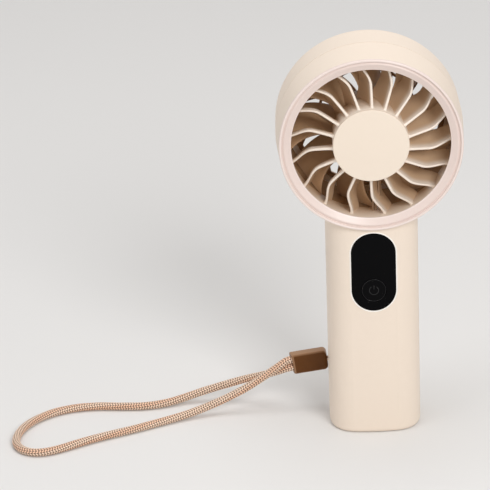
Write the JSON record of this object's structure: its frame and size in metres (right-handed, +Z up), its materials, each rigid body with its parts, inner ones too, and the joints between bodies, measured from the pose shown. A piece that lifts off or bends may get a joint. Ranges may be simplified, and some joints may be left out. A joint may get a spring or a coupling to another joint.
{
  "type": "handheld fan",
  "caption": "Battery handheld fan: round ducted head with curved guide vanes, flat-based handle, black display window with a power button, and a braided wrist strap.",
  "frame": {"origin": "on the surface that the handle stands on, under the middle of the head; the wrist strap isn't counted", "axes": "+Z up along the handle; -Y is the way the fan blows; +X is to the right of someone who faces the front of the fan"},
  "size_m": [0.2119, 0.0541, 0.1875],
  "materials": {
    "cream_shell": "fine matt texture",
    "blush_ring": "satin lacquer",
    "cream_insert": "smooth satin moulding",
    "cream_cap": "smooth satin moulding",
    "taupe_rotor": "smooth moulding",
    "black_gloss": "polished",
    "black_button": "polished, with a light symbol",
    "brown_clamp": "smooth moulding",
    "braid": "braided cord with a light fleck",
    "bright_steel": "ground",
    "zinc_screw": "zinc plated",
    "brass_tube": "turned",
    "lamination": "pressed sheet",
    "copper_wire": "enamelled wire",
    "ferrite": "moulded magnet",
    "green_board": "solder mask",
    "display_grey": "moulded reflector",
    "switch_black": "moulded",
    "cell_sleeve": "shrink sleeve",
    "nickel_strip": "rolled strip",
    "cradle_grey": "moulded",
    "wire_sleeve": "silicone sleeve"
  },
  "bodies": {
    "housing": {"front_shell": "cream_shell", "rear_shell": "cream_shell", "front_ring": "blush_ring", "guide_vanes": "cream_insert", "hub_cap": "cream_cap", "impeller_duct": "cream_insert", "rear_grille": "cream_shell", "bearing_tube": "brass_tube", "front_bearing": "bright_steel", "rear_bearing": "bright_steel", "motor_core": "lamination", "motor_windings": "copper_wire", "motor_board": "green_board", "motor_screws": "zinc_screw", "display_window": "black_gloss", "switch_body": "bright_steel", "control_board": "green_board", "board_screws": "zinc_screw", "display_module": "display_grey", "battery_left": "cell_sleeve", "battery_right": "cell_sleeve", "battery_tabs": "nickel_strip", "battery_cradle": "cradle_grey", "usb_socket": "bright_steel", "charge_board": "green_board", "case_screws": "zinc_screw", "screw_plugs": "cream_shell", "strap_pin": "bright_steel", "strap_clamp": "brown_clamp", "strap_cord": "braid", "strap_string": "braid", "motor_leads": "wire_sleeve", "battery_leads": "wire_sleeve", "board_leads": "wire_sleeve"},
    "rotor": {"impeller": "taupe_rotor", "rotor_yoke": "bright_steel", "magnet_ring": "ferrite", "motor_shaft": "bright_steel", "shaft_clip": "bright_steel"},
    "button": {"power_button": "black_button", "switch_plunger": "switch_black"}
  },
  "joints": [
    {"name": "impeller_spin", "type": "hinge", "parent": "housing", "child": "rotor", "pos_m": [0, 0, 0.145], "axis": [0, 1, 0], "continuous": true},
    {"name": "button_press", "type": "slide", "parent": "housing", "child": "button", "axis": [0, 1, 0], "range_m": [0, 0.0005], "stiffness_N_per_m": 2000}
  ]
}
